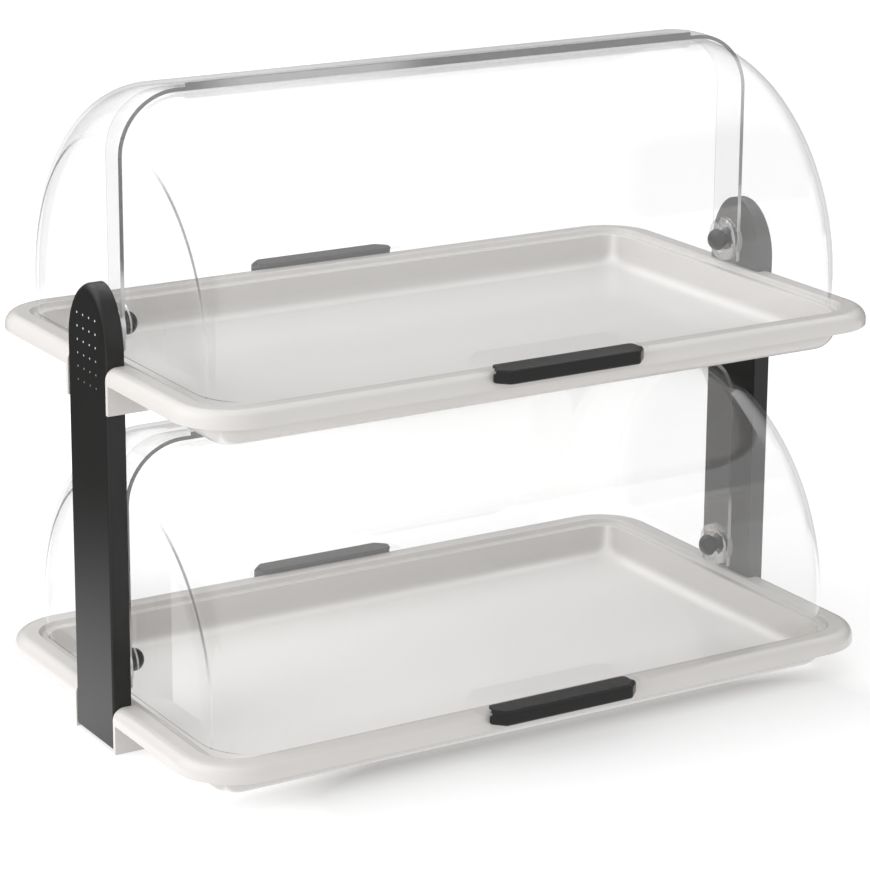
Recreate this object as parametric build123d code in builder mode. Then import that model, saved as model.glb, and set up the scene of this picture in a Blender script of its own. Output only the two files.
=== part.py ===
"""Two-tier countertop bread display bin with roll-top covers, in millimetres.

Two white trays hang one above the other between two black end posts.  Each tray is closed by a
clear rear half cover and a clear front half cover.  Both halves are drums turned about the same
pivot axis, the front one a little smaller, so either half rolls over or under the other.

The bin stands on the XY plane: X runs along the long side, the front faces -Y and Z points up.
"""

from build123d import *
from math import hypot, sqrt
import os

# ---- Trays ---------------------------------------------------------------------------------
TRAY_LENGTH = 530.0  # rim, outside, along X
TRAY_WIDTH = 325.0  # rim, outside, along Y
TRAY_CORNER = 42.0  # plan radius of the rim's corners
TIER_PITCH = 232.0  # from one tray to the next
SHELL = 3.0  # moulded wall of the rim
RIM_DEPTH = 11.0  # from the rim's lower edge up to its crest
RIM_ROUND = 8.0  # rounding of the rim's outer shoulder
RIM_LAND = 17.0  # rim's outer edge to the end of its crest
LEDGE_DROP = 3.5  # step down inside the crest, where the side panels dip
LEDGE_RUN = 2.2
LEDGE_LAND = 5.0
LIP_ROUND = 1.2
WELL_DEPTH = 27.0  # crest down to the floor that carries the bread
WELL_WALL = 4.2
WELL_DRAFT = 2.3  # taper of the well wall over its height
WELL_ROUND = 12.0  # inner radius between wall and floor
FLOOR = 3.0
FLOOR_OVERLAP = 2.0  # floor plate's reach into the swept section

# ---- Rubber pads under the lower tray ------------------------------------------------------
PAD_RADIUS = 7.0
PAD_THICKNESS = 3.0
PAD_PROUD = 1.5  # stands out below the floor
PAD_INSET = 62.0  # rim's outer edge to the pad's centre, both ways
PAD_CLEARANCE = 0.1
PAD_EDGE = 0.5

# ---- Posts ---------------------------------------------------------------------------------
POST_WIDTH = 56.5
POST_THICKNESS = 13.2
POST_SETBACK = 0.5  # outer face inside the rim's outer edge
POST_GROUND = 3.0  # foot above the table
POST_HEAD = 42.0  # height of the half-ellipse head
POST_ABOVE_PIVOT = 29.4  # top of the head above the upper pivot
POST_EDGE_ROUND = 1.5  # outer face's upright edges
POST_CROWN_ROUND = 6.5  # the same edge at the crown of the head
POST_CLEARANCE = 0.15  # all round in the tray's socket
LUG_WIDTH = 11.0  # snap lug through the socket's back web
LUG_HEIGHT = 4.0
LUG_HOOK = 1.6
LUG_RISE = 10.0  # socket's foot to the lug's lower face
LUG_TIP = 1.6

# ---- Sockets on the tray ends --------------------------------------------------------------
SOCKET_GROUND = 0.3  # foot of the socket above the pads' lower faces
SOCKET_WALL = 3.0

# ---- Pivots --------------------------------------------------------------------------------
PIVOT_ABOVE_CREST = 20.1
BUSH_FLANGE_RADIUS = 5.0
BUSH_FLANGE = 5.5  # spacer between post and cover
JOURNAL_RADIUS = 3.5  # the ears turn on this
JOURNAL_CLEARANCE = 0.05
EAR_PLAY = 0.3  # axial, each side of the pair of ears
EAR_GAP = 0.6  # between the two ears
STUD_RADIUS = 2.5
STUD_CLEARANCE = 0.05
STUD_IN_KNOB = 5.5
INSERT_RADIUS = 3.5
INSERT_LENGTH = 8.0
INSERT_CLEARANCE = 0.05
KNOB_RADIUS = 7.75
KNOB_DOME = 7.5
KNOB_EDGE = 1.8  # straight rim below the dome
KNOB_COLLAR_RADIUS = 5.75
KNOB_COLLAR = 3.6
KNOB_THREAD_DEPTH = 7.0

# ---- Clear half covers ---------------------------------------------------------------------
SHEET = 2.5  # clear plastic
COVER_CORNER = 42.0  # rear half, outside
ROLL_GAP = 1.0  # radial, between the two halves
SEAT_INSET = 9.8  # rim's outer edge to the rear half's outer skin, at the crest
FOOT_GAP = 0.3  # foot above the crest
REAR_LAP = 13.5  # rear half's front edge ahead of the axis
FRONT_LAP = 12.0  # front half's rear edge behind the axis
SEAM_ROUND = 8.0  # lower corner of the side panels at the seam
EAR_RADIUS = 15.0
BOSS_BORE_RADIUS = 11.0
BOSS_PROUD = 1.2
SEAM_RIB_HEIGHT = 1.8
SEAM_RIB_WIDTH = 2.5
SEAM_RIB_STOP = 6.5  # from the end of the drum's straight stretch
FLANGE_LENGTH = 125.0
FLANGE_THICKNESS = 2.0
FLANGE_CORNER = 3.0

# ---- Handles -------------------------------------------------------------------------------
HANDLE_LENGTH = 115.0
HANDLE_RIM_GAP = 0.8  # clear of the rim's outer edge
HANDLE_DEPTH = 9.7  # front bar
HANDLE_DROP = 8.4  # below the flange's upper face
HANDLE_TOP = 1.4  # web over the flange
HANDLE_REACH = 8.3  # web's reach back over the flange
HANDLE_CLEARANCE = 0.1  # to the flange
HANDLE_GROOVE = 2.0  # depth of the groove that the flange's edge snaps into
HANDLE_CHAMFER = 8.0
HANDLE_CORNER = 3.5  # rounding of the bar's upright edges
HANDLE_TOP_ROUND = 3.0
HANDLE_FOOT_ROUND = 2.0
HANDLE_WALL = 3.0
HANDLE_CORE_HEIGHT = 5.5

# ---- Derived levels, above the lower face of the pads --------------------------------------
floor_bottom = PAD_PROUD
floor_top = floor_bottom + FLOOR
crest = floor_top + WELL_DEPTH
rim_bottom = crest - RIM_DEPTH
ledge = crest - LEDGE_DROP
pivot = crest + PIVOT_ABOVE_CREST
foot = crest + FOOT_GAP

# ---- Derived places along X, from the middle of the bin ------------------------------------
tray_end = TRAY_LENGTH / 2
post_outer = tray_end - POST_SETBACK
post_inner = post_outer - POST_THICKNESS
bush_face = post_inner - BUSH_FLANGE
rear_side = bush_face - EAR_PLAY
front_side = rear_side - SHEET - EAR_GAP
knob_face = front_side - SHEET - EAR_PLAY
web_outer = post_inner - POST_CLEARANCE
web_inner = web_outer - SOCKET_WALL

# ---- Derived places across, from the edge of the rim or from the axis ----------------------
tray_edge = TRAY_WIDTH / 2
ledge_start = RIM_LAND + LEDGE_RUN
ledge_end = ledge_start + LEDGE_LAND
wall_top = ledge_end - WELL_WALL
wall_foot = wall_top + WELL_DRAFT
section_reach = ledge_end + WELL_DRAFT + WELL_ROUND
socket_half = POST_WIDTH / 2 + POST_CLEARANCE
rear_radius = hypot(tray_edge - SEAT_INSET, pivot - foot)
front_radius = rear_radius - SHEET - ROLL_GAP
post_top = pivot + TIER_PITCH + POST_ABOVE_PIVOT
flange_top = foot + FLANGE_THICKNESS
handle_back = tray_edge + HANDLE_RIM_GAP
handle_front = handle_back + HANDLE_DEPTH

TIERS = {"lower": 0.0, "upper": TIER_PITCH}
SIDES = {"left": -1, "right": 1}
FACINGS = {"front": -1, "rear": 1}


def save(piece, node):
    """Name one finished piece and write it as its own STEP file."""
    piece.label = node
    export_step(piece, f"parts/{node}.step")


def end_plane(side, base, y=0.0):
    """Upright plane across the bin: local x points out to one end, local y points up."""
    return Plane(origin=(0, y, base), x_dir=(side, 0, 0), z_dir=(0, -side, 0))


def cross_plane(facing, x=0.0, base=0.0):
    """Upright plane square to X: local x points to the front or rear, local y points up."""
    return Plane(origin=(x, 0, base), x_dir=(0, facing, 0), z_dir=(facing, 0, 0))


def pivot_axis(base):
    """Axis that both halves of one tier turn about."""
    return Axis((0, 0, base + pivot), (1, 0, 0))


# ---- Trays ---------------------------------------------------------------------------------
def tray_outline():
    """Closed outer edge of the rim, seen from above."""
    with BuildLine() as outline:
        FilletPolyline(
            (0, -tray_edge),
            (tray_end, -tray_edge),
            (tray_end, tray_edge),
            (-tray_end, tray_edge),
            (-tray_end, -tray_edge),
            radius=[0, TRAY_CORNER, TRAY_CORNER, TRAY_CORNER, TRAY_CORNER],
            close=True,
        )
    return outline.wire()


def tray_section(plane):
    """Rim, ledge, well wall and edge of the floor: local x runs inward from the rim's edge."""
    slope = LEDGE_RUN / LEDGE_DROP
    miter = SHELL * (hypot(1, slope) - slope)
    corners = {
        (0, rim_bottom): 0,
        (0, crest): RIM_ROUND,
        (RIM_LAND, crest): LIP_ROUND,
        (ledge_start, ledge): LIP_ROUND,
        (ledge_end, ledge): LIP_ROUND,
        (ledge_end + WELL_DRAFT, floor_top): WELL_ROUND,
        (section_reach, floor_top): 0,
        (section_reach, floor_bottom): 0,
        (wall_foot, floor_bottom): WELL_ROUND + SHELL,
        (wall_top, ledge - SHELL): LIP_ROUND,
        (ledge_start - miter, ledge - SHELL): 0,
        (RIM_LAND - miter, crest - SHELL): 0,
        (SHELL, crest - SHELL): RIM_ROUND - SHELL,
        (SHELL, rim_bottom): 0,
    }
    with BuildSketch(plane) as section:
        with BuildLine():
            FilletPolyline(*corners, radius=corners.values(), close=True)
        make_face()
    return section.sketch


def socket_profile(plane):
    """Cheek of a post socket: the rim's shoulder above, a gusset under the well's rounding below."""
    overlap = LIP_ROUND
    cheek_reach = wall_foot + WELL_ROUND + SHELL + overlap
    corners = {
        (0, SOCKET_GROUND): 0,
        (0, crest): RIM_ROUND,
        (RIM_LAND - overlap, crest): 0,
        (RIM_LAND - overlap, ledge - overlap): 0,
        (wall_top + overlap, ledge - overlap): 0,
        (wall_foot + overlap, floor_bottom + overlap): WELL_ROUND + SHELL - overlap,
        (cheek_reach, floor_bottom + overlap): 0,
        (cheek_reach, SOCKET_GROUND): 0,
    }
    with BuildSketch(plane) as profile:
        with BuildLine():
            inward = [(tray_end - inset, height) for inset, height in corners]
            FilletPolyline(*inward, radius=corners.values(), close=True)
        make_face()
    return profile.sketch


def make_tray(base):
    """One moulded tray: rounded rim channel, well, floor and a post socket at each end."""
    outline = tray_outline().moved(Location((0, 0, base)))
    start = outline % 0
    section_plane = Plane(
        origin=outline @ 0, x_dir=Vector(0, 0, 1).cross(start), z_dir=start
    )
    floor_inset = section_reach - FLOOR_OVERLAP
    cheek_middle = socket_half + SOCKET_WALL / 2
    with BuildPart() as tray:
        sweep(sections=tray_section(section_plane), path=outline)
        with BuildSketch(Plane.XY.offset(base + floor_bottom)):
            RectangleRounded(
                TRAY_LENGTH - 2 * floor_inset,
                TRAY_WIDTH - 2 * floor_inset,
                TRAY_CORNER - floor_inset,
            )
        extrude(amount=FLOOR)
        for side in SIDES.values():
            # The rim opens for the post...
            with BuildSketch(end_plane(side, base)):
                with Locations((web_outer, 0)):
                    Rectangle(tray_end, 2 * crest + SHELL, align=(Align.MIN, Align.CENTER))
            extrude(amount=socket_half, both=True, mode=Mode.SUBTRACT)
            # ...between two cheeks...
            for y in (-cheek_middle, cheek_middle):
                extrude(socket_profile(end_plane(side, base, y)), SOCKET_WALL / 2, both=True)
            # ...and against a back web with a window for the post's snap lug.
            with BuildSketch(end_plane(side, base)):
                with Locations((web_inner, SOCKET_GROUND)):
                    Rectangle(SOCKET_WALL, crest - SHELL / 2 - SOCKET_GROUND, align=Align.MIN)
            extrude(amount=socket_half + SOCKET_WALL, both=True)
            with BuildSketch(end_plane(side, base)):
                with Locations((web_inner, SOCKET_GROUND + LUG_RISE - POST_CLEARANCE)):
                    Rectangle(SOCKET_WALL, LUG_HEIGHT + 2 * POST_CLEARANCE, align=Align.MIN)
            extrude(amount=LUG_WIDTH / 2 + POST_CLEARANCE, both=True, mode=Mode.SUBTRACT)
    return tray.part


def pad_places():
    """Corners of the rectangle on which the pads stand."""
    return GridLocations(TRAY_LENGTH - 2 * PAD_INSET, TRAY_WIDTH - 2 * PAD_INSET, 2, 2)


def add_pad_recesses(moulding):
    """Round recesses in the floor's underside that hold the rubber pads."""
    with BuildPart() as tray:
        add(moulding)
        with BuildSketch(Plane.XY.offset(floor_bottom)):
            with pad_places():
                Circle(PAD_RADIUS + PAD_CLEARANCE)
        extrude(amount=PAD_THICKNESS - PAD_PROUD, mode=Mode.SUBTRACT)
    return tray.part


def make_pad(x, y):
    """One rubber pad, its lower edge broken."""
    with BuildPart(Plane((x, y, 0))) as pad:
        Cylinder(PAD_RADIUS, PAD_THICKNESS, align=(Align.CENTER, Align.CENTER, Align.MIN))
        chamfer(pad.edges().group_by(Axis.Z)[0], PAD_EDGE)
    return pad.part


# ---- Posts ---------------------------------------------------------------------------------
def edge_waste(side, rim, place, radius):
    """Section of what the rounding takes off the outer face's edge, at one place on its rim."""
    corner = rim @ place
    out = Vector(side, 0, 0)
    away = Vector(0, -(rim % place).Z, (rim % place).Y)
    if away.Y * corner.Y + away.Z < 0:
        away = -away
    with BuildSketch(Plane(origin=corner, x_dir=away, z_dir=away.cross(out))) as waste:
        with BuildLine():
            Polyline(
                (0, -radius),
                (POST_EDGE_ROUND, -radius),
                (POST_EDGE_ROUND, POST_EDGE_ROUND),
                (-radius, POST_EDGE_ROUND),
                (-radius, 0),
            )
            TangentArc((-radius, 0), (0, -radius), tangent=(1, 0))
        make_face()
    return waste.sketch


def make_post(side):
    """One end post: straight blade with a half-elliptic head, snap lugs and insert bores.

    The rounding of the outer face's edge is small up the blade and swells to the crown.
    """
    shoulder = post_top - POST_HEAD
    half = POST_WIDTH / 2
    swell = (POST_EDGE_ROUND + POST_CROWN_ROUND) / 2
    with BuildLine(Plane.YZ.offset(side * post_outer)) as head:
        rim = EllipticalCenterArc((0, shoulder), half, POST_HEAD, arc_size=180)
    waste = [
        edge_waste(side, rim, place, radius)
        for place, radius in (
            (0, POST_EDGE_ROUND),
            (0.25, swell),
            (0.5, POST_CROWN_ROUND),
            (0.75, swell),
            (1, POST_EDGE_ROUND),
        )
    ]
    with BuildPart() as post:
        with BuildSketch(Plane.YZ.offset(side * post_inner)):
            with BuildLine():
                Polyline(
                    (half, shoulder),
                    (half, POST_GROUND),
                    (-half, POST_GROUND),
                    (-half, shoulder),
                )
                EllipticalCenterArc((0, shoulder), half, POST_HEAD, arc_size=180)
            make_face()
        extrude(amount=side * POST_THICKNESS)
        sweep(waste, head.line, multisection=True, mode=Mode.SUBTRACT)
        for section in (waste[0], waste[-1]):
            extrude(section, shoulder - POST_GROUND, dir=(0, 0, -1), mode=Mode.SUBTRACT)
        for base in TIERS.values():
            with BuildSketch(end_plane(side, base)):
                with Locations((web_inner - LUG_TIP - POST_CLEARANCE, SOCKET_GROUND + LUG_RISE)):
                    Rectangle(post_inner - web_inner + 2 * LUG_TIP, LUG_HEIGHT, align=Align.MIN)
                    Rectangle(LUG_TIP, LUG_HEIGHT + LUG_HOOK, align=Align.MIN)
            extrude(amount=LUG_WIDTH / 2, both=True)
            with BuildSketch(Plane.YZ.offset(side * post_inner)):
                with Locations((0, base + pivot)):
                    Circle(INSERT_RADIUS + INSERT_CLEARANCE)
            extrude(amount=side * (INSERT_LENGTH + INSERT_CLEARANCE), mode=Mode.SUBTRACT)
    return post.part


# ---- Pivot hardware ------------------------------------------------------------------------
def turned(side, base, *steps):
    """Ring or shaft turned about the pivot axis.

    Each step is (place along X at its inner end, at its outer end, bore radius, radius).
    """
    with BuildPart() as piece:
        with BuildSketch(end_plane(side, base + pivot)):
            for near, far, bore, radius in steps:
                with Locations((near, bore)):
                    Rectangle(far - near, radius - bore, align=Align.MIN)
        revolve(axis=pivot_axis(base))
    return piece.part


def make_bush(side, base):
    """Flanged bush: its flange spaces the covers from the post, its journal carries the ears."""
    bore = STUD_RADIUS + STUD_CLEARANCE
    return turned(
        side,
        base,
        (bush_face, post_inner, bore, BUSH_FLANGE_RADIUS),
        (knob_face, bush_face, bore, JOURNAL_RADIUS),
    )


def make_insert(side, base):
    """Brass insert pressed into the post, which the stud is screwed into."""
    bore = STUD_RADIUS + STUD_CLEARANCE
    return turned(side, base, (post_inner, post_inner + INSERT_LENGTH, bore, INSERT_RADIUS))


def make_stud(side, base):
    """Plain steel stud from the insert through the bush into the knob."""
    stud_end = post_inner + INSERT_LENGTH
    return turned(side, base, (knob_face - STUD_IN_KNOB, stud_end, 0, STUD_RADIUS))


def make_knob(side, base):
    """Domed thumb knob with a collar that bears on the end of the bush."""
    collar_end = knob_face - KNOB_COLLAR
    dome_base = collar_end - KNOB_EDGE
    crown = collar_end - KNOB_DOME
    with BuildPart() as knob:
        with BuildSketch(end_plane(side, base + pivot)):
            with BuildLine():
                Polyline(
                    (crown, 0),
                    (knob_face, 0),
                    (knob_face, KNOB_COLLAR_RADIUS),
                    (collar_end, KNOB_COLLAR_RADIUS),
                    (collar_end, KNOB_RADIUS),
                    (dome_base, KNOB_RADIUS),
                )
                TangentArc((crown, 0), (dome_base, KNOB_RADIUS), tangent=(0, 1))
            make_face()
        revolve(axis=pivot_axis(base))
        with BuildSketch(Plane.YZ.offset(side * knob_face)):
            with Locations((0, base + pivot)):
                Circle(STUD_RADIUS + STUD_CLEARANCE)
        extrude(amount=-side * KNOB_THREAD_DEPTH, mode=Mode.SUBTRACT)
    return knob.part


# ---- Clear covers --------------------------------------------------------------------------
def drum_profile(base, half_length, radius, corner):
    """Upper half of a drum's section, from the pivot axis out, with rounded shoulders."""
    with BuildSketch(end_plane(1, base + pivot)) as profile:
        with BuildLine():
            FilletPolyline(
                (-half_length, 0),
                (-half_length, radius),
                (half_length, radius),
                (half_length, 0),
                radius=[0, corner, corner, 0],
                close=True,
            )
        make_face()
    return profile.sketch


def make_drum_half(facing, base, side_face, radius):
    """Hollow drum of clear sheet, cut level at the foot and upright at the seam."""
    corner = COVER_CORNER - (rear_radius - radius)
    seam = -facing * (REAR_LAP if facing > 0 else FRONT_LAP)
    with BuildPart() as shell:
        revolve(drum_profile(base, side_face, radius, corner), axis=pivot_axis(base))
        revolve(
            drum_profile(base, side_face - SHEET, radius - SHEET, corner - SHEET),
            axis=pivot_axis(base),
            mode=Mode.SUBTRACT,
        )
        split(bisect_by=Plane.XY.offset(base + foot), keep=Keep.TOP)
        split(bisect_by=Plane(origin=(0, seam, 0), z_dir=(0, facing, 0)), keep=Keep.TOP)
        foot_edges = shell.edges().filter_by(Axis.X).group_by(Axis.Z)[0]
        fillet(foot_edges.group_by(SortBy.LENGTH)[0], SEAM_ROUND)
    return shell.part


def make_cover(facing, base):
    """One clear half cover: drum shell, ears with bosses, foot flange and, behind, a seam rib."""
    is_rear = facing > 0
    side_face = rear_side if is_rear else front_side
    radius = rear_radius if is_rear else front_radius
    inner_face = side_face - SHEET
    overlap = SHEET / 2
    boss_start = side_face - overlap if is_rear else inner_face - BOSS_PROUD
    boss_width = EAR_RADIUS - BOSS_BORE_RADIUS
    centre = base + pivot
    middle = radius - SHEET / 2
    flange_middle = foot + FLANGE_THICKNESS / 2
    flange_root = sqrt(middle**2 - (pivot - flange_middle) ** 2)
    flange_tip = handle_back + HANDLE_GROOVE - HANDLE_CLEARANCE
    rib_root = sqrt(middle**2 - REAR_LAP**2)
    rib_length = 2 * (rear_side - COVER_CORNER - SEAM_RIB_STOP)
    with BuildPart() as cover:
        add(make_drum_half(facing, base, side_face, radius))
        for side in SIDES.values():
            with BuildSketch(end_plane(side, base + pivot)):
                with Locations((inner_face, 0)):
                    Rectangle(SHEET, EAR_RADIUS, align=Align.MIN)
                with Locations((boss_start, BOSS_BORE_RADIUS)):
                    Rectangle(BOSS_PROUD + overlap, boss_width, align=Align.MIN)
            revolve(axis=pivot_axis(base))
            with BuildSketch(Plane.YZ.offset(side * inner_face)):
                with Locations((0, centre)):
                    Circle(JOURNAL_RADIUS + JOURNAL_CLEARANCE)
            extrude(amount=side * SHEET, mode=Mode.SUBTRACT)
        with BuildSketch(Plane.XY.offset(base + foot)) as flange:
            with Locations((0, facing * (flange_root + flange_tip) / 2)):
                Rectangle(FLANGE_LENGTH, flange_tip - flange_root)
            tip_corners = flange.vertices().group_by(Axis.Y)[-1 if is_rear else 0]
            fillet(tip_corners, FLANGE_CORNER)
        extrude(amount=FLANGE_THICKNESS)
        if is_rear:
            with BuildSketch(Plane.XZ.offset(REAR_LAP)):
                with Locations((0, centre + rib_root)):
                    rib_height = radius + SEAM_RIB_HEIGHT - rib_root
                    Rectangle(rib_length, rib_height, align=(Align.CENTER, Align.MIN))
            extrude(amount=-SEAM_RIB_WIDTH)
    return cover.part


# ---- Handles -------------------------------------------------------------------------------
def make_handle(facing, base):
    """Black moulded bar: hangs in front of the rim, its web lies on the clear foot flange."""
    bottom = base + flange_top - HANDLE_DROP
    web_under = base + flange_top + HANDLE_CLEARANCE
    groove_bottom = base + foot - HANDLE_CLEARANCE
    half = HANDLE_LENGTH / 2
    web_inset = HANDLE_TOP_ROUND + HANDLE_CLEARANCE  # clear of the bar's rounding
    web_back = handle_back - HANDLE_REACH
    web_front = handle_front - HANDLE_CHAMFER
    core_length = HANDLE_LENGTH - 2 * (HANDLE_CHAMFER + HANDLE_WALL)
    plan = {
        (-half, handle_back): 0,
        (-half, handle_front - HANDLE_CHAMFER): HANDLE_CORNER,
        (HANDLE_CHAMFER - half, handle_front): HANDLE_CORNER,
        (half - HANDLE_CHAMFER, handle_front): HANDLE_CORNER,
        (half, handle_front - HANDLE_CHAMFER): HANDLE_CORNER,
        (half, handle_back): 0,
    }
    with BuildPart() as handle:
        with BuildSketch(Plane.XY.offset(bottom)):
            with BuildLine():
                placed = [(x, facing * y) for x, y in plan]
                FilletPolyline(*placed, radius=plan.values(), close=True)
            make_face()
        extrude(amount=web_under + HANDLE_TOP - bottom)
        for level, radius in ((0, HANDLE_FOOT_ROUND), (-1, HANDLE_TOP_ROUND)):
            edges = handle.edges().group_by(Axis.Z)[level]
            back = edges.sort_by(SortBy.LENGTH)[-1]
            fillet(edges - ShapeList([back]), radius)
        with BuildSketch(Plane.XY.offset(web_under)):
            with Locations((0, facing * (web_back + web_front) / 2)):
                RectangleRounded(HANDLE_LENGTH - 2 * web_inset, web_front - web_back, web_inset)
        extrude(amount=HANDLE_TOP)
        with BuildSketch(Plane.XY.offset(groove_bottom)):
            with Locations((0, facing * handle_back)):
                Rectangle(HANDLE_LENGTH, 2 * HANDLE_GROOVE)
        extrude(amount=web_under - groove_bottom, mode=Mode.SUBTRACT)
        with BuildSketch(Plane.XY.offset(bottom)):
            with Locations((0, facing * (handle_back + handle_front) / 2)):
                Rectangle(core_length, HANDLE_DEPTH - 2 * HANDLE_WALL)
        extrude(amount=HANDLE_CORE_HEIGHT, mode=Mode.SUBTRACT)
    return handle.part


# ---- All pieces ----------------------------------------------------------------------------
def main():
    """Build every piece and write it to its own file."""
    os.makedirs("parts", exist_ok=True)
    for tier, base in TIERS.items():
        moulding = make_tray(base)
        if tier == "lower":
            moulding = add_pad_recesses(moulding)
        save(moulding, f"tray_{tier}")
        for facing_name, facing in FACINGS.items():
            save(make_cover(facing, base), f"cover_{facing_name}_{tier}")
            save(make_handle(facing, base), f"handle_{facing_name}_{tier}")
        for side_name, side in SIDES.items():
            save(make_bush(side, base), f"pivot_bush_{side_name}_{tier}")
            save(make_insert(side, base), f"threaded_insert_{side_name}_{tier}")
            save(make_stud(side, base), f"pivot_stud_{side_name}_{tier}")
            save(make_knob(side, base), f"knob_{side_name}_{tier}")
    for side_name, side in SIDES.items():
        save(make_post(side), f"post_{side_name}")
        for facing_name, facing in FACINGS.items():
            x = side * (tray_end - PAD_INSET)
            y = facing * (tray_edge - PAD_INSET)
            save(make_pad(x, y), f"foot_pad_{facing_name}_{side_name}")


if __name__ == "__main__":
    main()
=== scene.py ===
"""Countertop bread display bin: a finish for every piece, the studio round it and the camera.

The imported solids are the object. Each class below takes its own nodes from the frame and gives
them a finish that changes over the surface, and Studio and Viewpoint add the floor, the light
and the camera. Lengths are in metres, in the frame's own axes: +X to the right-hand post, +Y to
the rear, +Z up.
"""
from __future__ import annotations

import logging
import math
from collections.abc import Mapping, Sequence
from dataclasses import dataclass, field, replace
from enum import Enum
from typing import Any

import bpy
from mathutils import Matrix, Vector


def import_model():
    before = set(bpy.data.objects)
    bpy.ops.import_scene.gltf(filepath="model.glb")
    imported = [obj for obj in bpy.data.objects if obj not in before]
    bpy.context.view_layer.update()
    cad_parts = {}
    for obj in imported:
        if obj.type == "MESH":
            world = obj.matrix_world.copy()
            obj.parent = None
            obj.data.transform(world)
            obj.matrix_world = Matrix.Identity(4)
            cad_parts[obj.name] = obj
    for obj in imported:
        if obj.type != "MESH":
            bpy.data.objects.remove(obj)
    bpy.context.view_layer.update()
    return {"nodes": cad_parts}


LOG = logging.getLogger("bread_bin")
MM = 0.001
CLEAR_SURFACES = 48  # how many clear surfaces a ray may pass
MIX_FACTOR, MIX_FIRST, MIX_SECOND, MIX_RESULT = 0, 6, 7, 2  # a Mix node's sockets for colours

Colour = tuple[float, float, float, float]
Span = tuple[float, float]  # where a soft step is 0, and where it is 1


class Tier(Enum):
    """The two trays, each with the level of its own datum above the lower one's."""

    LOWER = 0.0
    UPPER = 232 * MM

    @property
    def word(self) -> str:
        """The tier's name as the nodes carry it."""
        return self.name.lower()


class Side(Enum):
    """The two ends of the trays, by the names that the nodes carry."""

    LEFT = "left"
    RIGHT = "right"


class Facing(Enum):
    """The two half covers of a tier, each with its sign along Y."""

    FRONT = -1
    REAR = 1

    @property
    def word(self) -> str:
        """The half's name as the nodes carry it."""
        return self.name.lower()


def grey(level: float, warmth: float = 0.0) -> Colour:
    """A near-neutral colour.

    Args:
        level: how light it is, from 0 to 1, as a linear value.
        warmth: how much the red stands above the blue, as a share of the level.

    Returns:
        The colour as red, green, blue and alpha.
    """
    return (level * (1 + warmth / 2), level, level * (1 - warmth / 2), 1.0)


class Signal:
    """One output socket of a shader tree. Arithmetic on it adds the Math nodes it needs."""

    def __init__(self, tree: ShaderTree, socket: bpy.types.NodeSocket) -> None:
        """Wraps a socket of a tree."""
        self.tree = tree
        self.socket = socket

    def _maths(self, operation: str, *values: Signal | float) -> Signal:
        """Adds one Math node.

        Args:
            operation: the Math node's operation.
            values: what goes into its sockets, in order.

        Returns:
            The node's result.
        """
        made = self.tree.node("ShaderNodeMath", {"operation": operation}, dict(enumerate(values)))
        return Signal(self.tree, made.outputs[0])

    def __add__(self, other: Signal | float) -> Signal:
        """The sum."""
        return self._maths("ADD", self, other)

    def __radd__(self, other: float) -> Signal:
        """The sum, from the right."""
        return self._maths("ADD", other, self)

    def __sub__(self, other: Signal | float) -> Signal:
        """The difference."""
        return self._maths("SUBTRACT", self, other)

    def __rsub__(self, other: float) -> Signal:
        """The difference, from the right."""
        return self._maths("SUBTRACT", other, self)

    def __mul__(self, other: Signal | float) -> Signal:
        """The product."""
        return self._maths("MULTIPLY", self, other)

    def __rmul__(self, other: float) -> Signal:
        """The product, from the right."""
        return self._maths("MULTIPLY", other, self)

    def __truediv__(self, other: Signal | float) -> Signal:
        """The quotient."""
        return self._maths("DIVIDE", self, other)

    def __rtruediv__(self, other: float) -> Signal:
        """The quotient, from the right."""
        return self._maths("DIVIDE", other, self)

    def __pow__(self, other: Signal | float) -> Signal:
        """The power."""
        return self._maths("POWER", self, other)

    def __rpow__(self, other: float) -> Signal:
        """The power, from the right."""
        return self._maths("POWER", other, self)

    def __abs__(self) -> Signal:
        """The size without its sign."""
        return self._maths("ABSOLUTE", self)

    def lesser(self, other: Signal | float) -> Signal:
        """The lesser of two values."""
        return self._maths("MINIMUM", self, other)

    def greater(self, other: Signal | float) -> Signal:
        """The greater of two values."""
        return self._maths("MAXIMUM", self, other)

    def clamped(self) -> Signal:
        """The value held between 0 and 1."""
        return self.greater(0.0).lesser(1.0)

    def folded(self, pitch: float) -> Signal:
        """The distance to the nearest multiple of a pitch."""
        return self._maths("PINGPONG", self, pitch / 2)

    def rise(self, start: float, end: float) -> Signal:
        """A smooth step.

        Args:
            start: where it is 0.
            end: where it is 1. It may lie below start.

        Returns:
            The step, between 0 and 1.
        """
        made = self.tree.node(
            "ShaderNodeMapRange",
            {"interpolation_type": "SMOOTHSTEP"},
            {"Value": self, "From Min": start, "From Max": end},
        )
        return Signal(self.tree, made.outputs[0])


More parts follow.
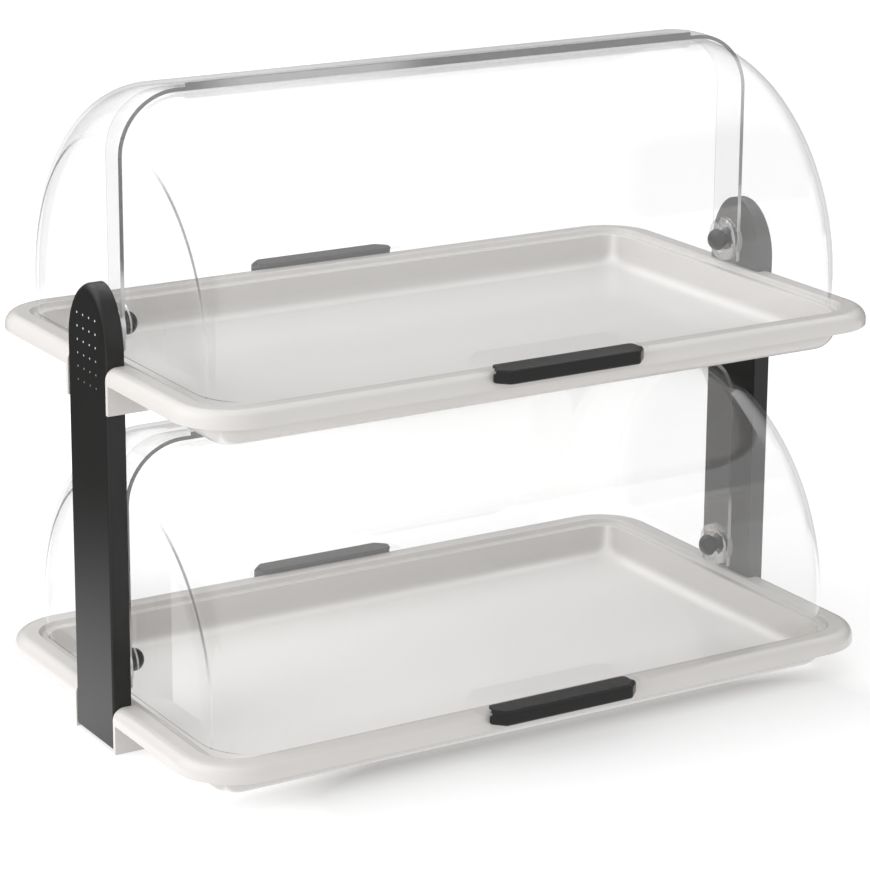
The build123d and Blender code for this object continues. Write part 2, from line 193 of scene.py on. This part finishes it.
class ShaderTree:
    """The node tree of one material, or of the world, and the ways to add to it."""

    def __init__(self, owner: bpy.types.Material | bpy.types.World) -> None:
        """Takes the owner's tree and clears it."""
        owner.use_nodes = True
        self.tree = owner.node_tree
        self.tree.nodes.clear()

    def node(
        self,
        kind: str,
        settings: Mapping[str, Any] | None = None,
        sockets: Mapping[str | int, Any] | None = None,
    ) -> bpy.types.Node:
        """Adds a node and fills its sockets.

        Args:
            kind: the node's type.
            settings: its own properties, which are set first.
            sockets: a value, a Signal or a node for each socket, by name or number.

        Returns:
            The node.
        """
        made = self.tree.nodes.new(kind)
        for name, value in (settings or {}).items():
            setattr(made, name, value)
        for name, value in (sockets or {}).items():
            if isinstance(value, Signal):
                self.tree.links.new(value.socket, made.inputs[name])
            elif isinstance(value, bpy.types.Node):
                self.tree.links.new(value.outputs[0], made.inputs[name])
            else:
                made.inputs[name].default_value = value
        return made

    def output(self, made: bpy.types.Node, name: str | int = 0) -> Signal:
        """One of a node's outputs as a Signal."""
        return Signal(self, made.outputs[name])

    def place(self) -> Signal:
        """The point on the piece, in the frame's axes with the piece at rest."""
        return self.output(self.node("ShaderNodeTexCoord"), "Object")

    def parts(self, vector: Signal) -> tuple[Signal, Signal, Signal]:
        """A vector's X, Y and Z."""
        split = self.node("ShaderNodeSeparateXYZ", sockets={0: vector})
        return self.output(split, 0), self.output(split, 1), self.output(split, 2)

    def axes(self) -> tuple[Signal, Signal, Signal]:
        """The X, Y and Z of the point on the piece."""
        return self.parts(self.place())

    def facing(self) -> tuple[Signal, Signal, Signal]:
        """How far the surface faces +X, +Y and +Z, from -1 to 1, with the piece at rest."""
        return self.parts(self.output(self.node("ShaderNodeTexCoord"), "Normal"))

    def noise(self, grain: float, detail: float = 2.0) -> Signal:
        """Soft noise over the piece.

        Args:
            grain: the width of its patches.
            detail: how many finer layers it has.

        Returns:
            The noise, about 0.5 on average.
        """
        made = self.node(
            "ShaderNodeTexNoise",
            sockets={"Vector": self.place(), "Scale": 1 / grain, "Detail": detail},
        )
        return self.output(made, "Fac")

    def mixed(self, factor: Signal | float, first: Any, second: Any) -> Signal:
        """A colour between two.

        Args:
            factor: 0 for the first, 1 for the second.
            first: a colour or a Signal.
            second: a colour or a Signal.

        Returns:
            The mixed colour.
        """
        made = self.node(
            "ShaderNodeMix",
            {"data_type": "RGBA"},
            {MIX_FACTOR: factor, MIX_FIRST: first, MIX_SECOND: second},
        )
        return self.output(made, MIX_RESULT)

    def bump(self, height: Signal, depth: float) -> Signal:
        """The normal of a surface with small hills on it.

        Args:
            height: the hills, from 0 to 1.
            depth: how high a hill of 1 stands.

        Returns:
            The normal.
        """
        made = self.node("ShaderNodeBump", sockets={"Distance": depth, "Height": height})
        return self.output(made)

    def layered(self, factor: Signal | float, under: Any, over: Any) -> bpy.types.Node:
        """A Mix Shader of two shaders."""
        return self.node("ShaderNodeMixShader", sockets={0: factor, 1: under, 2: over})

    def finish(self, shader: bpy.types.Node) -> None:
        """Joins a shader to the material's output."""
        self.node("ShaderNodeOutputMaterial", sockets={"Surface": shader})


@dataclass(frozen=True)
class Moulding:
    """Moulded plastic, metal or rubber: one even skin with slight mottling and a fine grain."""

    name: str
    colour: Colour
    mottle: Colour
    roughness: float
    sheen_change: float = 0.05
    metallic: float = 0.0
    coat: float = 0.0
    coat_roughness: float = 0.08
    specular: float = 0.5
    patch: float = 60 * MM
    patch_detail: float = 3.0
    grain: float = 0.6 * MM
    grain_depth: float = 0.004 * MM

    def material(self) -> bpy.types.Material:
        """The finish as a material."""
        material = bpy.data.materials.new(self.name)
        tree = ShaderTree(material)
        tree.finish(self._skin(tree))
        return material

    def _paint(self, tree: ShaderTree, skin: Signal) -> Signal:
        """The skin's colour, with whatever is marked on it.

        Args:
            tree: the material's tree.
            skin: the mottled colour.

        Returns:
            The colour that shows.
        """
        return skin

    def _skin(self, tree: ShaderTree) -> bpy.types.Node:
        """The shader of the skin.

        Args:
            tree: the material's tree.

        Returns:
            The Principled shader.
        """
        patches = tree.noise(self.patch, self.patch_detail)
        return tree.node(
            "ShaderNodeBsdfPrincipled",
            sockets={
                "Base Color": self._paint(tree, tree.mixed(patches, self.colour, self.mottle)),
                "Roughness": self.roughness + self.sheen_change * (patches - 0.5),
                "Metallic": self.metallic,
                "Specular IOR Level": self.specular,
                "Coat Weight": self.coat,
                "Coat Roughness": self.coat_roughness,
                "Normal": tree.bump(tree.noise(self.grain), self.grain_depth),
            },
        )


@dataclass(frozen=True)
class TrayMoulding(Moulding):
    """The trays' skin: the well is painted lighter than the rim and its walls lighter still, as
    painted light in the well under the covers.

    well_half is half the well's length and width, and level says how far up a surface has to
    face to count as the well's floor.
    """

    # Painted light: the well's floor, and its walls lighter still.
    well: Colour = grey(0.76, 0.03)
    wall: Colour = grey(0.90, 0.03)
    well_half: tuple[float, float] = (239 * MM, 136 * MM)
    fade: float = 5 * MM
    level: Span = (0.5, 0.95)

    def _paint(self, tree: ShaderTree, skin: Signal) -> Signal:
        """The skin's colour with the well painted lighter in it, as painted light."""
        x, y, _ = tree.axes()
        beyond = (abs(x) - self.well_half[0]).greater(abs(y) - self.well_half[1])
        # Painted light: the walls lighter than the well's floor, the whole well lighter than the
        # rim.
        inside = tree.mixed(tree.facing()[2].rise(*self.level), self.wall, self.well)
        return tree.mixed(beyond.rise(0.0, -self.fade), skin, inside)


@dataclass(frozen=True)
class DimpledMoulding(Moulding):
    """The posts' skin: a square grid of tiny dimples on the outer face of the head, each painted
    pale as a painted glint.

    The painted glints are faint in the lowest row and have their full strength from full_row up,
    and border is where the grid ends, in pitches past its outermost dimples.
    """

    pitch: float = 9.0 * MM
    rows: int = 6
    columns: int = 4
    full_row: int = 4
    faintest: float = 0.25
    lowest: float = 246.5 * MM
    outer_face: float = 264.3 * MM
    face_fade: float = 0.1 * MM
    border: Span = (0.4, 0.3)
    dimple: float = 0.95 * MM
    # the colour of the painted glint in each dimple
    pale: Colour = grey(0.60)

    def _paint(self, tree: ShaderTree, skin: Signal) -> Signal:
        """The skin's colour with the dimples on it, painted pale as painted glints."""
        x, y, z = tree.axes()
        across = y + self.pitch * (self.columns - 1) / 2
        up = z - self.lowest
        off_across, off_up = across.folded(self.pitch), up.folded(self.pitch)
        inside = self._within(across, self.columns) * self._within(up, self.rows)
        inside = inside * abs(x).rise(self.outer_face - self.face_fade, self.outer_face)
        # Painted glint: a pale dot in each dimple, fainter in the lower rows.
        painted_glint = (off_across * off_across + off_up * off_up) ** 0.5
        painted_glint = painted_glint.rise(self.dimple, self.dimple / 2) * inside
        glint_strength = self.faintest + (1 - self.faintest) * up.rise(0.0, self.pitch * self.full_row)
        return tree.mixed(painted_glint * glint_strength, skin, self.pale)

    def _within(self, along: Signal, count: int) -> Signal:
        """1 over the stretch that holds the dimples of one direction, 0 outside it.

        Args:
            along: the distance from the first dimple.
            count: how many dimples there are.

        Returns:
            The mask.
        """
        middle = self.pitch * (count - 1) / 2
        outer, inner = (middle + self.pitch * share for share in self.border)
        return abs(along - middle).rise(outer, inner)


@dataclass(frozen=True)
class Seam:
    """A half cover's free edge over the top: its place along Y, its width and its haze, the share
    of painted shade and painted reflection on the cut edge.
    """

    place: float
    band: float
    haze: float


SEAMS = {
    Facing.FRONT: Seam(12.0 * MM, 0.8 * MM, 0.30),
    Facing.REAR: Seam(-13.5 * MM, 0.6 * MM, 0.92),
}


@dataclass(frozen=True)
class SheetPlaces:
    """Where a point lies on a half cover. Every mask is 1 in its own place and 0 elsewhere.

    x is the distance from the middle of the tray and height the distance above the pivot.
    outward marks the surfaces that face away from the inside, and outside those on the end
    walls. seam, foot, corner and boss mark the free edge, the lower edge, the end wall's rounded
    edge and the flat round the pivot, and low the lowest strip. slant is 0 where the sheet is
    seen square on and 1 where it is seen edge on, and graze keeps only its last part.
    """

    x: Signal
    height: Signal
    outward: Signal
    outside: Signal
    seam: Signal
    foot: Signal
    low: Signal
    corner: Signal
    boss: Signal
    slant: Signal
    graze: Signal


@dataclass(frozen=True)
class ClearSheet:
    """Clear polished sheet of one half cover, painted dark as painted shade where its cut edge is
    looked into, with painted lines of shadow and reflection near its edges.

    The places are measured with the piece at rest: the seam's along Y, foot is the Z of the
    lower edge, and pivot the Z of the axis that the half turns about.
    """

    name: str
    facing: Facing
    seam: Seam
    foot: float
    pivot: float

    end_wall: float = 236 * MM
    wall_fade: Span = (0.5, 0.8)
    wall_skin: float = 1 * MM
    turn: Span = (-1 * MM, 1 * MM)
    seam_fade: float = 0.7
    foot_line: Span = (1.0 * MM, 0.4 * MM)
    low_strip: Span = (20 * MM, 5 * MM)
    # Where the painted reflection line lies on the end wall's rounded edge.
    line_radius: float = 123.5 * MM
    line_width: Span = (2.2 * MM, 0.4 * MM)
    line_top: Span = (128 * MM, 95 * MM)
    line_rise: float = 60 * MM
    line_faintest: float = 0.3
    boss_radius: float = 15.0 * MM
    boss_fade: float = 1.06
    graze_power: float = 12.0

    haze: float = 0.032
    low_haze: float = 0.05
    graze_haze: float = 0.35
    # share of the foot line: the sheet's lower edge, painted dark as a painted shadow of the gap at
    # the rim
    foot_painted_shadow: float = 0.45
    # share of the painted reflection line on the end wall's rounded edge
    line_haze: float = 0.70
    haze_roughness: float = 0.25
    streak: float = 90 * MM
    streak_detail: float = 3.0
    streak_share: float = 0.2

    glass: Colour = grey(0.995)
    bloom: Colour = grey(0.80)
    graze_bloom: Colour = grey(0.35)
    # Colour of the painted lines: at the foot a painted shadow of the gap at the rim over the
    # sheet's own lower edge, on the end wall's rounded edge a painted reflection.
    painted_dark_line: Colour = grey(0.10)
    # The seam's cut edge: painted shade, turning to painted reflection higher up and round
    # dark_middle, with a pale rippled band of painted reflection low down.
    seam_painted_shade: Colour = grey(0.04)
    pale_seam: Colour = grey(0.50)
    ripple_seam: Colour = grey(0.55)
    pale_height: Span = (90 * MM, 145 * MM)
    pale_least: float = 0.2
    pale_more: float = 0.65
    dark_middle: float = -105 * MM
    dark_half: Span = (95 * MM, 45 * MM)
    ripple: float = 14 * MM
    ripple_sway: float = 12 * MM
    ripple_height: Span = (52 * MM, 34 * MM)

    ior: float = 1.55
    polish: float = 0.05
    most_mirror: float = 0.45
    most_inner_mirror: float = 0.20
    foot_loss: float = 0.75
    wall_loss: float = 0.35
    boss_mirror: float = 0.35
    swirl: float = 7 * MM
    swirl_detail: float = 1.0
    swirl_depth: float = 1.2 * MM

    def material(self) -> bpy.types.Material:
        """The finish as a material: gloss over haze over clear."""
        material = bpy.data.materials.new(self.name)
        tree = ShaderTree(material)
        places = self._places(tree)
        entering = 1 - tree.output(tree.node("ShaderNodeNewGeometry"), "Backfacing")
        clear = tree.node("ShaderNodeBsdfTransparent", sockets={"Color": self.glass})
        haze = (self._haze(tree, places) * entering).clamped()
        bloom = tree.node(
            "ShaderNodeBsdfPrincipled",
            sockets={"Base Color": self._tint(tree, places), "Roughness": self.haze_roughness},
        )
        mirror = (self._mirror(places) * entering).clamped()
        gloss = self._gloss(tree, places)
        tree.finish(tree.layered(mirror, tree.layered(haze, clear, bloom), gloss))
        return material

    def _places(self, tree: ShaderTree) -> SheetPlaces:
        """Finds where a point lies on the half cover.

        Args:
            tree: the material's tree.

        Returns:
            Its distances and masks.
        """
        x, y, z = tree.axes()
        across, along, upward = tree.facing()
        height = z - self.pivot
        reach = (y * y + height * height) ** 0.5
        seam = (y - self.seam.place) * self.facing.value
        wall_start, wall_end = (self.end_wall * share for share in self.wall_fade)
        outside = (x * across).rise(wall_start, wall_end)
        # The thin line on the end wall's rounded edge that carries a painted reflection, fainter
        # towards the pivot.
        corner = abs(reach - self.line_radius).rise(*self.line_width) * outside
        corner = corner * height.rise(*self.line_top)
        faint = self.line_faintest
        boss = reach.rise(self.boss_fade * self.boss_radius, self.boss_radius)
        slant = tree.output(tree.node("ShaderNodeLayerWeight", sockets={"Blend": 0.5}), "Facing")
        return SheetPlaces(
            x=x,
            height=height,
            outward=(x * across + y * along + height * upward).rise(*self.turn),
            outside=outside,
            seam=seam.rise(self.seam.band, self.seam.band * self.seam_fade),
            foot=(z - self.foot).rise(*self.foot_line) * outside,
            low=(z - self.foot).rise(*self.low_strip),
            corner=corner * (faint + (1 - faint) * height.rise(0.0, self.line_rise)),
            boss=boss * abs(x).rise(self.end_wall - self.wall_skin, self.end_wall),
            slant=slant,
            graze=slant**self.graze_power,
        )

    def _haze(self, tree: ShaderTree, places: SheetPlaces) -> Signal:
        """How milky the sheet is, before it is held between 0 and 1.

        Args:
            tree: the material's tree.
            places: where the point lies.

        Returns:
            The share of haze.
        """
        haze = (
            self.haze
            + self.low_haze * places.low
            + self.graze_haze * places.graze * places.outward
            # The seam's share of painted shade and painted reflection, then the painted lines at
            # the foot and the corner:
            + self.seam.haze * places.seam
            + self.foot_painted_shadow * places.foot
            + self.line_haze * places.corner
        )
        streaks = tree.noise(self.streak, self.streak_detail)
        return haze * (1 + self.streak_share * (streaks - 0.5))

    def _tint(self, tree: ShaderTree, places: SheetPlaces) -> Signal:
        """The haze's colour: pale on the sheet, with painted shade and painted reflection mixed
        along the seam's cut edge, and dark painted lines at the foot and on the end wall's rounded
        edge.

        Args:
            tree: the material's tree.
            places: where the point lies.

        Returns:
            The colour.
        """
        # The seam's painted shade and painted reflection.
        beside = abs(places.x - self.dark_middle).rise(*self.dark_half)
        pale = places.height.rise(*self.pale_height)
        pale = pale * (self.pale_least + self.pale_more * beside)
        edge = tree.mixed(pale, self.seam_painted_shade, self.pale_seam)
        ripple = places.height + self.ripple_sway * tree.noise(self.ripple)
        edge = tree.mixed(ripple.rise(*self.ripple_height), edge, self.ripple_seam)
        bloom = tree.mixed(places.graze, self.bloom, self.graze_bloom)
        tint = tree.mixed(places.seam, bloom, edge)
        # The foot's painted shadow and the corner's painted reflection.
        return tree.mixed(places.foot.greater(places.corner), tint, self.painted_dark_line)

    def _mirror(self, places: SheetPlaces) -> Signal:
        """The share of light that the sheet mirrors, before it is held between 0 and 1.

        Both faces send light back, each as Schlick's formula says. The share is held down on the
        inside, near the foot and on the end walls, and is higher on the flat round the pivot.

        Args:
            places: where the point lies.

        Returns:
            The share.
        """
        straight = ((self.ior - 1) / (self.ior + 1)) ** 2
        one_face = straight + (1 - straight) * places.slant**5
        both_faces = 2 * one_face / (1 + one_face)
        outer_gain = self.most_mirror - self.most_inner_mirror
        mirror = both_faces.lesser(self.most_inner_mirror + outer_gain * places.outward)
        mirror = mirror * (1 - self.foot_loss * places.low)
        mirror = mirror * (1 - self.wall_loss * places.outside)
        return mirror + self.boss_mirror * places.boss

    def _gloss(self, tree: ShaderTree, places: SheetPlaces) -> bpy.types.Node:
        """The shader of the mirrored light, swirled on the flat round the pivot.

        Args:
            tree: the material's tree.
            places: where the point lies.

        Returns:
            The glossy shader.
        """
        swirl = tree.noise(self.swirl, self.swirl_detail) * places.boss
        return tree.node(
            "ShaderNodeBsdfAnisotropic",
            sockets={
                "Color": grey(1.0),
                "Roughness": self.polish,
                "Normal": tree.bump(swirl, self.swirl_depth),
            },
        )


UPPER_TRAY = TrayMoulding(
    "white_plastic", grey(0.62, 0.06), grey(0.595, 0.066), 0.26, coat=0.25, grain_depth=0.002 * MM
)
# A lit copy of the tray's finish: the lower well and walls are painted lighter still, as painted
# light under the upper tray.
LOWER_TRAY = replace(
    UPPER_TRAY, name="white_plastic_lower", well=grey(0.93, 0.03), wall=grey(0.96, 0.03)
)
BLACK_SATIN = DimpledMoulding(
    "black_satin", grey(0.010, 0.08), grey(0.014, 0.06), 0.30, specular=0.36
)
BLACK_GLOSS = Moulding("black_gloss", grey(0.013, 0.08), grey(0.017, 0.06), 0.22, specular=0.2)
KNOB_BLACK = Moulding("knob_black", grey(0.012, 0.04), grey(0.016, 0.04), 0.26, specular=0.4)
ACETAL = Moulding("black_acetal", grey(0.030), grey(0.038), 0.42, patch=6 * MM)
PLATED_STEEL = Moulding(
    "plated_steel", grey(0.56, -0.02), grey(0.48), 0.28, metallic=1.0, patch=4 * MM, grain=0.15 * MM
)
BRASS = Moulding(
    "brass",
    (0.62, 0.45, 0.18, 1.0),
    (0.50, 0.35, 0.13, 1.0),
    0.33,
    metallic=1.0,
    patch=3 * MM,
    grain=0.15 * MM,
)
RUBBER = Moulding(
    "rubber", grey(0.030), grey(0.042), 0.75, patch=5 * MM, grain=0.4 * MM, grain_depth=0.02 * MM
)


class Finishes:
    """Makes each material once and hands it out by its finish."""

    def __init__(self) -> None:
        """Starts with none made."""
        self._made: dict[str, bpy.types.Material] = {}

    def dress(self, piece: bpy.types.Object, finish: Moulding | ClearSheet) -> None:
        """Gives a piece its finish, in place of what it came with.

        Args:
            piece: the mesh.
            finish: the finish, made into a material on first use.
        """
        if finish.name not in self._made:
            self._made[finish.name] = finish.material()
        piece.data.materials.clear()
        piece.data.materials.append(self._made[finish.name])
        LOG.info("%s: %s", piece.name, finish.name)


@dataclass
class TrayTier:
    """One tray and the two half covers that roll over it."""

    nodes: Mapping[str, bpy.types.Object]
    finishes: Finishes
    tier: Tier
    foot: float = 31.8 * MM
    pivot: float = 51.6 * MM

    def dress(self) -> None:
        """Finishes the tray, both covers and both handles."""
        word, datum = self.tier.word, self.tier.value
        moulding = LOWER_TRAY if self.tier is Tier.LOWER else UPPER_TRAY
        self.finishes.dress(self.nodes[f"tray_{word}"], moulding)
        for facing, seam in SEAMS.items():
            name = f"clear_sheet_{facing.word}_{word}"
            sheet = ClearSheet(name, facing, seam, datum + self.foot, datum + self.pivot)
            self.finishes.dress(self.nodes[f"cover_{facing.word}_{word}"], sheet)
            self.finishes.dress(self.nodes[f"handle_{facing.word}_{word}"], BLACK_GLOSS)


@dataclass
class Stand:
    """The posts, the four pivots that join covers to posts, and the pads underneath."""

    nodes: Mapping[str, bpy.types.Object]
    finishes: Finishes

    def dress(self) -> None:
        """Finishes the posts, the pivots and the pads."""
        for side in Side:
            self.finishes.dress(self.nodes[f"post_{side.value}"], BLACK_SATIN)
            for tier in Tier:
                self._dress_pivot(side, tier)
            for facing in Facing:
                self.finishes.dress(self.nodes[f"foot_pad_{facing.word}_{side.value}"], RUBBER)

    def _dress_pivot(self, side: Side, tier: Tier) -> None:
        """Finishes one pivot's four pieces.

        Args:
            side: the end it is on.
            tier: the tray it belongs to.
        """
        for piece, finish in (
            ("knob", KNOB_BLACK),
            ("pivot_bush", ACETAL),
            ("pivot_stud", PLATED_STEEL),
            ("threaded_insert", BRASS),
        ):
            self.finishes.dress(self.nodes[f"{piece}_{side.value}_{tier.word}"], finish)


@dataclass
class SoftBox:
    """A square area lamp that points at the bin and isn't mirrored in it."""

    name: str
    place: Vector
    width: float
    power: float
    aim: Vector = field(default_factory=lambda: Vector((0.0, 0.0, 0.2)))

    def build(self) -> bpy.types.Object:
        """Adds the lamp and returns it."""
        lamp = bpy.data.lights.new(self.name, "AREA")
        lamp.shape = "SQUARE"
        lamp.size = self.width
        lamp.energy = self.power
        holder = bpy.data.objects.new(self.name, lamp)
        bpy.context.scene.collection.objects.link(holder)
        holder.location = self.place
        holder.rotation_euler = (self.aim - self.place).to_track_quat("-Z", "Y").to_euler()
        holder.visible_glossy = False
        return holder


@dataclass
class Studio:
    """A pale table that runs into an over-lit white background, under soft light from the left.

    What the shiny pieces mirror differs from what the camera looks at, as it does among the
    lamps of a studio: the table is bright before the bin and close behind it at the left, and
    dim elsewhere.
    """

    floor_width: float = 24.0
    floor_diffuse: float = 0.55
    floor_mottle: float = 0.98
    floor_patch: float = 0.8
    floor_glow: float = 0.575
    bounce: float = 0.92
    # A painted pool of light: extra glow on the floor at the left.
    left_glow: float = 0.19
    left_slant: float = 0.6
    left_edge: Span = (0.0, -0.28)
    left_start: Span = (0.2, 0.4)
    # Where the painted shadow in the floor's glow lies, round the bin's foot.
    shadow_middle: float = 0.02
    shadow_end: Span = (0.11, 0.25)
    shadow_side: Span = (0.118, 0.162)
    shadow_tail: Span = (0.14, 0.32)
    tail_share: float = 0.28

    mirrored_front: float = 1.0
    mirrored_near: float = 1.3
    mirrored_far: float = 0.10
    mirrored_sky: float = 2.2
    behind_edge: Span = (-50 * MM, 50 * MM)
    left_part: Span = (-0.15, -0.28)
    near_edge: Span = (0.68, 0.22)
    front_edge: Span = (0.0, -0.3)
    sky_edge: Span = (0.15, 0.85)

    zenith: float = 0.74
    horizon: float = 0.90
    left_light: float = 0.35

    def build(self) -> None:
        """Adds the floor, the room and the lamps."""
        self._floor()
        self._room()
        for lamp in (
            SoftBox("top_box", Vector((-0.5, 0.4, 2.4)), width=2.6, power=4.0),
            SoftBox("left_box", Vector((-2.2, 0.5, 1.2)), width=2.0, power=33.0),
        ):
            lamp.build()
        LOG.info("studio: floor, room and two lamps")

    def _floor(self) -> bpy.types.Object:
        """The floor, a wide square with the bin at its middle."""
        half = self.floor_width / 2
        mesh = bpy.data.meshes.new("floor")
        corners = [(x * half, y * half, 0.0) for x, y in ((-1, -1), (1, -1), (1, 1), (-1, 1))]
        mesh.from_pydata(corners, [], [(0, 1, 2, 3)])
        mesh.materials.append(self._floor_finish())
        floor = bpy.data.objects.new("floor", mesh)
        bpy.context.scene.collection.objects.link(floor)
        return floor

    def _floor_finish(self) -> bpy.types.Material:
        """The floor's finish, which shows white and keeps the bin's shadow, deepened by a painted
        shadow in its glow.
        """
        material = bpy.data.materials.new("pale_floor")
        tree = ShaderTree(material)
        looked_at, mirrored = self._rays(tree)
        x, y, _ = tree.axes()
        light, dark = grey(self.floor_diffuse), grey(self.floor_diffuse * self.floor_mottle)
        paint = tree.node(
            "ShaderNodeBsdfDiffuse",
            sockets={"Color": tree.mixed(tree.noise(self.floor_patch), light, dark)},
        )
        level = self._blend(looked_at, self.floor_glow * self.bounce, self._seen_glow(x, y))
        glow = tree.node("ShaderNodeEmission", sockets={"Color": level})
        both = tree.node("ShaderNodeAddShader", sockets={0: paint, 1: glow})
        image = tree.node("ShaderNodeEmission", sockets={"Color": self._mirrored_glow(x, y)})
        tree.finish(tree.layered(mirrored, both, image))
        return material

    def _seen_glow(self, x: Signal, y: Signal) -> Signal:
        """How much the floor glows where it is looked at: left out round the bin's foot as a
        painted shadow, and more at the left as a painted pool of light.

        Args:
            x: the place along X.
            y: the place along Y.

        Returns:
            The glow.
        """
        # Painted shadow: the glow is left out round the bin's foot.
        side, tail = abs(y).rise(*self.shadow_side), abs(y).rise(*self.shadow_tail)
        end = abs(x - self.shadow_middle).rise(*self.shadow_end)
        outside_painted_shadow = self._blend(self.tail_share, side, tail).greater(end)
        # Painted light: a pool of extra glow at the left.
        left = (x - self.left_slant * y).rise(*self.left_edge) * y.rise(*self.left_start)
        return self.floor_glow * outside_painted_shadow + self.left_glow * left

    def _mirrored_glow(self, x: Signal, y: Signal) -> Signal:
        """How bright the floor is in the mirror of a shiny piece.

        Args:
            x: the place along X.
            y: the place along Y.

        Returns:
            The brightness.
        """
        away = (x * x + y * y) ** 0.5
        near = x.rise(*self.left_part) * away.rise(*self.near_edge)
        behind = self.mirrored_far + self.mirrored_near * near
        return self._blend(y.rise(*self.behind_edge), self.mirrored_front, behind)

    def _room(self) -> None:
        """The white room: full white where it is looked at, softer where it lights the bin."""
        world = bpy.data.worlds.new("white_room")
        bpy.context.scene.world = world
        tree = ShaderTree(world)
        looked_at, mirrored = self._rays(tree)
        towards = tree.output(tree.node("ShaderNodeTexCoord"), "Generated")
        across, along, upward = tree.parts(towards)
        image = self._blend(upward.rise(*self.sky_edge), self.mirrored_far, self.mirrored_sky)
        image = self._blend(along.rise(*self.front_edge), image, self.mirrored_front)
        ambient = self._blend(upward.rise(1.0, 0.0), self.zenith, self.horizon)
        ambient = ambient + self.left_light * across.rise(0.0, -1.0)
        unseen = self._blend(mirrored, ambient, image)
        background = tree.node(
            "ShaderNodeBackground", sockets={"Color": self._blend(looked_at, unseen, 1.0)}
        )
        tree.node("ShaderNodeOutputWorld", sockets={"Surface": background})

    @staticmethod
    def _rays(tree: ShaderTree) -> tuple[Signal, Signal]:
        """Marks the rays that look at a surface, straight or through a sheet, and mirrored ones."""
        rays = tree.node("ShaderNodeLightPath")
        straight = tree.output(rays, "Is Camera Ray") + tree.output(rays, "Is Transmission Ray")
        return straight, tree.output(rays, "Is Glossy Ray")

    @staticmethod
    def _blend(
        factor: Signal | float, first: Signal | float, second: Signal | float
    ) -> Signal:
        """A value between two.

        Args:
            factor: 0 for the first, 1 for the second.
            first: a number or a Signal.
            second: a number or a Signal.

        Returns:
            The blended value.
        """
        return first * (1 - factor) + second * factor


@dataclass
class Viewpoint:
    """The camera: a long lens, a little above the upper tray and to the left of the front."""

    azimuth: float = -31.194
    elevation: float = 15.235
    roll: float = 0.328
    distance: float = 2.1985
    target: Vector = field(default_factory=lambda: Vector((-1.65 * MM, 0.7 * MM, 234.6 * MM)))
    lens: float = 132.2
    sensor: float = 36.0
    rise: float = -0.1
    nearest: float = 0.1
    farthest: float = 60.0

    def build(self) -> None:
        """Adds the camera and makes it the scene's own."""
        data = bpy.data.cameras.new("camera")
        data.sensor_width = self.sensor
        data.lens = self.lens
        data.shift_y = self.rise
        data.clip_start = self.nearest
        data.clip_end = self.farthest
        camera = bpy.data.objects.new("camera", data)
        bpy.context.scene.collection.objects.link(camera)
        azimuth, elevation = math.radians(self.azimuth), math.radians(self.elevation)
        back = Vector(
            (
                math.sin(azimuth) * math.cos(elevation),
                -math.cos(azimuth) * math.cos(elevation),
                math.sin(elevation),
            )
        )
        level = back.to_track_quat("Z", "Y").to_matrix().to_4x4()
        turned = level @ Matrix.Rotation(math.radians(self.roll), 4, "Z")
        camera.matrix_world = Matrix.Translation(self.target + back * self.distance) @ turned
        bpy.context.scene.camera = camera
        LOG.info("camera: %.1f mm lens, %.2f m away", self.lens, self.distance)


def main() -> None:
    """Loads the frame, dresses the bin, and sets up the studio and the camera."""
    logging.basicConfig(level=logging.INFO, format="%(name)s %(message)s")
    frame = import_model()
    scene = bpy.context.scene
    scene.view_settings.view_transform = "Standard"
    scene.cycles.transparent_max_bounces = CLEAR_SURFACES
    nodes, finishes = frame["nodes"], Finishes()
    for tier in Tier:
        TrayTier(nodes, finishes, tier).dress()
    Stand(nodes, finishes).dress()
    Studio().build()
    Viewpoint().build()
    LOG.info("%d pieces dressed", len(nodes))


if __name__ == "__main__":
    main()
